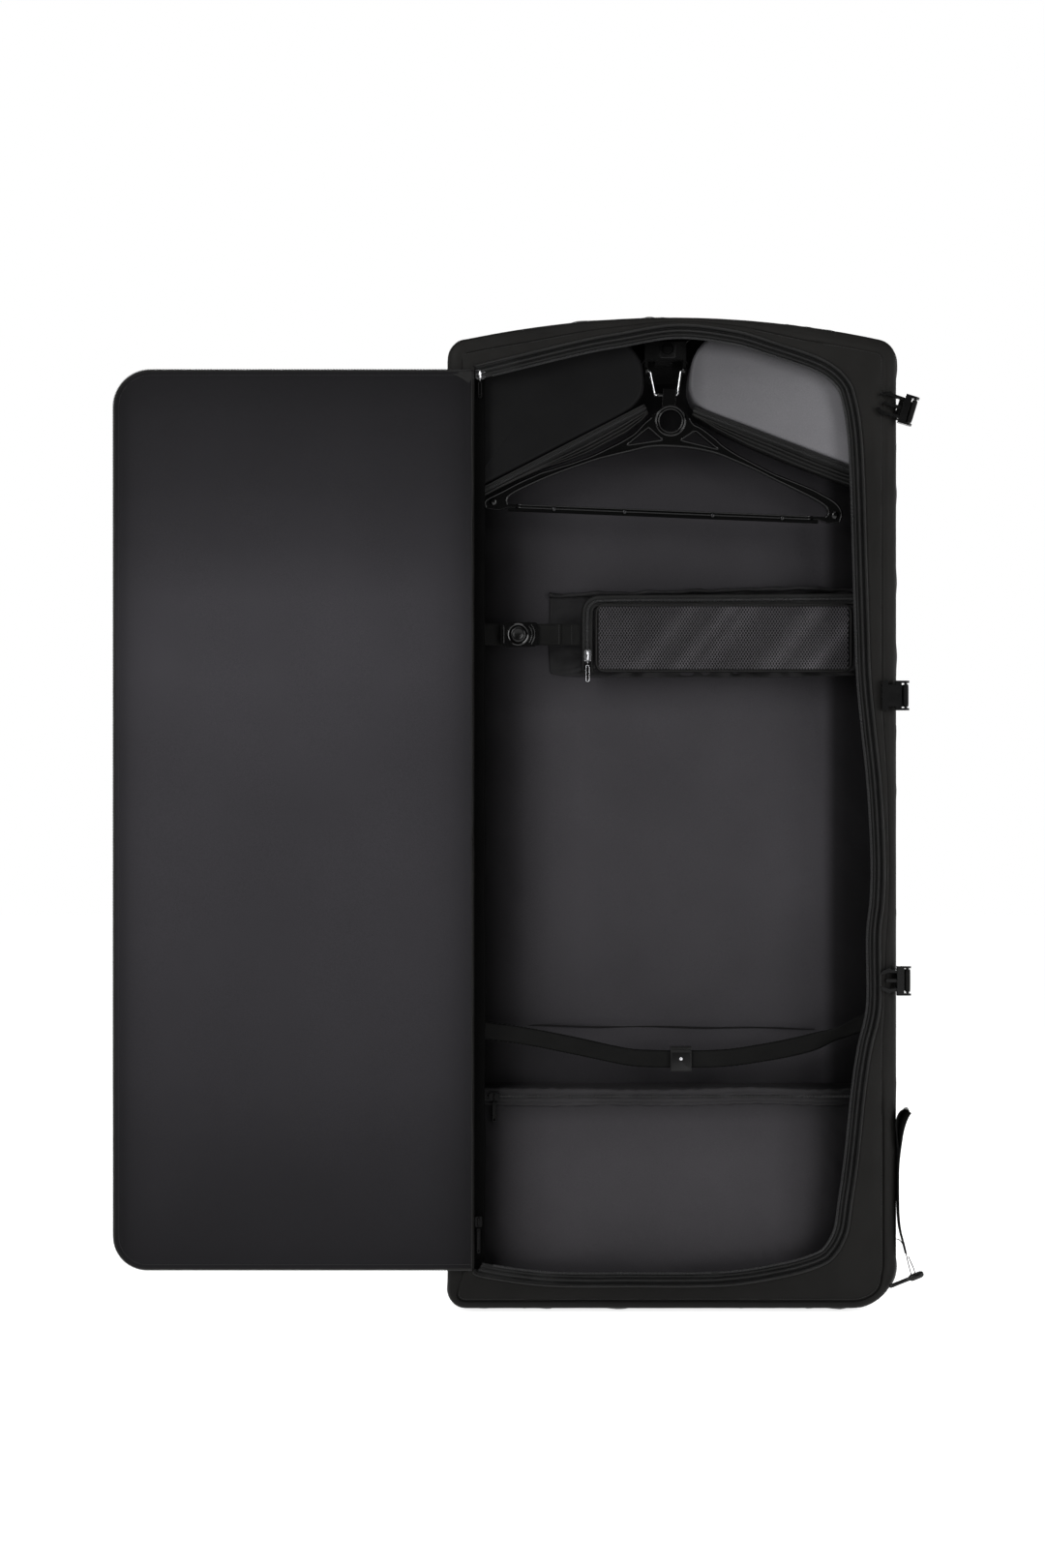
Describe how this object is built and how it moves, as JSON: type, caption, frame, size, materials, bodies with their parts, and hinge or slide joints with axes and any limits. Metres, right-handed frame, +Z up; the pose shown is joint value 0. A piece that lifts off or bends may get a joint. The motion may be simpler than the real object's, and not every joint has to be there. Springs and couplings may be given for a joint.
{
  "type": "garment bag",
  "caption": "Soft bi-fold garment bag standing open: case with arched top, hinged front door, inner hanger on a wire bail, zip pockets, straps and buckles.",
  "frame": {"origin": "centre of the hanging ring behind the top of the case", "axes": "+X across the bag to its buckle side, +Y out of its back, +Z up towards its arched top"},
  "size_m": [0.9089, 0.1051, 1.113],
  "materials": {
    "shell_fabric": "fine woven polyester, slightly glossy coating",
    "lining_satin": "smooth satin twill",
    "pocket_satin": "smooth coated satin",
    "stiffener": "sheet board",
    "zip_tape": "ribbed zip tape and coil",
    "webbing": "ribbed webbing",
    "mesh": "open net over satin",
    "moulded_plastic": "fine moulded satin",
    "gloss_plastic": "smooth moulded",
    "bar_grip": "soft",
    "bail_chrome": "polished wire",
    "ring_steel": "satin",
    "slider_metal": "polished cast",
    "dark_metal": "dark gunmetal",
    "thin_cord": "braided"
  },
  "bodies": {
    "upper_case": {"hang_ring": "ring_steel", "hang_webbing": "webbing", "upper_back_panel": "shell_fabric", "upper_back_board": "stiffener", "upper_gusset": "shell_fabric", "upper_front_border": "shell_fabric", "upper_lining": "lining_satin", "upper_zip_tape": "zip_tape", "corner_pocket_left": "pocket_satin", "corner_pocket_right": "pocket_satin", "corner_pocket_zips": "zip_tape", "hanger_bracket": "moulded_plastic", "pouch_body": "pocket_satin", "pouch_mesh": "mesh", "pouch_zip": "zip_tape", "pouch_strap": "webbing", "pouch_buckle": "gloss_plastic", "side_tabs_upper": "webbing"},
    "lower_case": {"lower_back_panel": "shell_fabric", "lower_back_board": "stiffener", "lower_gusset": "shell_fabric", "lower_front_border": "shell_fabric", "lower_lining": "lining_satin", "lower_zip_tape": "zip_tape", "shoe_pocket": "lining_satin", "shoe_pocket_zip": "zip_tape", "garment_strap": "webbing", "side_tab_lower": "webbing", "tail_strap": "webbing", "tail_cord": "thin_cord"},
    "door_upper": {"door_upper_cover": "shell_fabric", "door_upper_board": "stiffener", "door_upper_lining": "lining_satin"},
    "door_lower": {"door_lower_cover": "shell_fabric", "door_lower_board": "stiffener", "door_lower_lining": "lining_satin"},
    "rim_top": {"door_rim_top": "shell_fabric"},
    "rim_side_upper": {"door_rim_side_upper": "shell_fabric"},
    "rim_side_lower": {"door_rim_side_lower": "shell_fabric"},
    "bracket_button": {"bracket_button": "gloss_plastic"},
    "bail": {"hanger_bail": "bail_chrome"},
    "hanger": {"hanger_frame": "gloss_plastic", "trouser_bar": "bar_grip", "hanger_rivets": "dark_metal"},
    "pouch_buckle_button": {"pouch_buckle_button": "gloss_plastic"},
    "pouch_slider": {"pouch_slider": "slider_metal"},
    "pouch_puller": {"pouch_puller": "slider_metal"},
    "main_slider_top": {"main_slider_top": "slider_metal"},
    "main_puller_top": {"main_puller_top": "slider_metal"},
    "side_buckle_top": {"side_buckle_top": "moulded_plastic"},
    "side_buckle_mid": {"side_buckle_mid": "moulded_plastic"},
    "side_buckle_low": {"side_buckle_low": "moulded_plastic"},
    "shoe_slider": {"shoe_slider": "dark_metal"},
    "shoe_puller": {"shoe_puller": "dark_metal"},
    "strap_clip": {"garment_strap_clip": "moulded_plastic"},
    "main_slider_bottom": {"main_slider_bottom": "dark_metal"},
    "main_puller_bottom": {"main_puller_bottom": "dark_metal"},
    "toggle": {"toggle_cord": "thin_cord", "tail_toggle": "moulded_plastic"}
  },
  "joints": [
    {"name": "bag_fold", "type": "hinge", "parent": "upper_case", "child": "lower_case", "pos_m": [0, -0.0993, -0.55], "axis": [-1, 0, 0], "range_deg": [0, 172]},
    {"name": "door_upper_swing", "type": "hinge", "parent": "upper_case", "child": "door_upper", "pos_m": [-0.2224, -0.09505, -0.287], "axis": [0, 0, 1], "range_deg": [0, 180]},
    {"name": "door_lower_swing", "type": "hinge", "parent": "lower_case", "child": "door_lower", "pos_m": [-0.2224, -0.09505, -0.792], "axis": [0, 0, 1], "range_deg": [0, 180]},
    {"name": "rim_top_slide", "type": "slide", "parent": "door_upper", "child": "rim_top", "axis": [0, 0, 1], "range_m": [0, 0.05]},
    {"name": "rim_side_upper_slide", "type": "slide", "parent": "door_upper", "child": "rim_side_upper", "axis": [-1, 0, 0], "range_m": [0, 0.056]},
    {"name": "rim_side_lower_slide", "type": "slide", "parent": "door_lower", "child": "rim_side_lower", "axis": [-1, 0, 0], "range_m": [0, 0.056]},
    {"name": "bail_swing", "type": "hinge", "parent": "upper_case", "child": "bail", "pos_m": [-0.006, -0.052, -0.02], "axis": [1, 0, 0], "range_deg": [-60, 6]},
    {"name": "hanger_swing", "type": "hinge", "parent": "bail", "child": "hanger", "pos_m": [-0.005, -0.052, -0.047], "axis": [1, 0, 0], "range_deg": [-30, 4]},
    {"name": "bracket_button_press", "type": "slide", "parent": "upper_case", "child": "bracket_button", "axis": [0, 1, 0], "range_m": [0, 0.002], "stiffness_N_per_m": 200, "springref_m": -0.001},
    {"name": "pouch_buckle_press", "type": "slide", "parent": "upper_case", "child": "pouch_buckle_button", "axis": [0, 1, 0], "range_m": [0, 0.002], "stiffness_N_per_m": 300, "springref_m": -0.001},
    {"name": "pouch_zip_slide", "type": "slide", "parent": "upper_case", "child": "pouch_slider", "axis": [0, 0, 1], "range_m": [0, 0.048]},
    {"name": "pouch_puller_swing", "type": "hinge", "parent": "pouch_slider", "child": "pouch_puller", "pos_m": [-0.094, -0.0498, -0.351], "axis": [1, 0, 0], "range_deg": [-95, 0]},
    {"name": "main_zip_top_slide", "type": "slide", "parent": "upper_case", "child": "main_slider_top", "axis": [0.97, 0, 0.2431], "range_m": [0, 0.018]},
    {"name": "main_puller_top_swing", "type": "hinge", "parent": "main_slider_top", "child": "main_puller_top", "pos_m": [-0.2156, -0.0901, -0.0362], "axis": [1, 0, 0], "range_deg": [-95, 0]},
    {"name": "side_buckle_top_flip", "type": "hinge", "parent": "upper_case", "child": "side_buckle_top", "pos_m": [0.268, -0.0965, -0.072], "axis": [0.2924, 0, 0.9563], "range_deg": [0, 150]},
    {"name": "side_buckle_mid_flip", "type": "hinge", "parent": "upper_case", "child": "side_buckle_mid", "pos_m": [0.261, -0.0965, -0.39], "axis": [0, 0, 1], "range_deg": [0, 150]},
    {"name": "side_buckle_low_flip", "type": "hinge", "parent": "lower_case", "child": "side_buckle_low", "pos_m": [0.263, -0.0965, -0.709], "axis": [0, 0, -1], "range_deg": [-150, 0]},
    {"name": "shoe_zip_slide", "type": "slide", "parent": "lower_case", "child": "shoe_slider", "axis": [1, 0, 0], "range_m": [0, 0.38]},
    {"name": "shoe_puller_swing", "type": "hinge", "parent": "shoe_slider", "child": "shoe_puller", "pos_m": [-0.2, -0.0612, -0.8484], "axis": [1, 0, 0], "range_deg": [-95, 0]},
    {"name": "strap_clip_slide", "type": "slide", "parent": "lower_case", "child": "strap_clip", "axis": [1, 0, 0], "range_m": [-0.02, 0.02]},
    {"name": "main_zip_bottom_slide", "type": "slide", "parent": "lower_case", "child": "main_slider_bottom", "axis": [0, 0, -1], "range_m": [0, 0.008]},
    {"name": "main_puller_bottom_swing", "type": "hinge", "parent": "main_slider_bottom", "child": "main_puller_bottom", "pos_m": [-0.2173, -0.0901, -0.9872], "axis": [1, 0, 0], "range_deg": [-95, 0]},
    {"name": "toggle_swing", "type": "hinge", "parent": "lower_case", "child": "toggle", "pos_m": [0.2625, -0.095, -1.0175], "axis": [0, 1, 0], "range_deg": [-25, 25]}
  ],
  "couplings": [
    {"joint": "door_lower_swing", "follows": "door_upper_swing", "ratio": 1},
    {"joint": "rim_top_slide", "follows": "door_upper_swing", "m_per_rad": 0.0159},
    {"joint": "rim_side_upper_slide", "follows": "door_upper_swing", "m_per_rad": 0.0178},
    {"joint": "rim_side_lower_slide", "follows": "door_upper_swing", "m_per_rad": 0.0178}
  ]
}
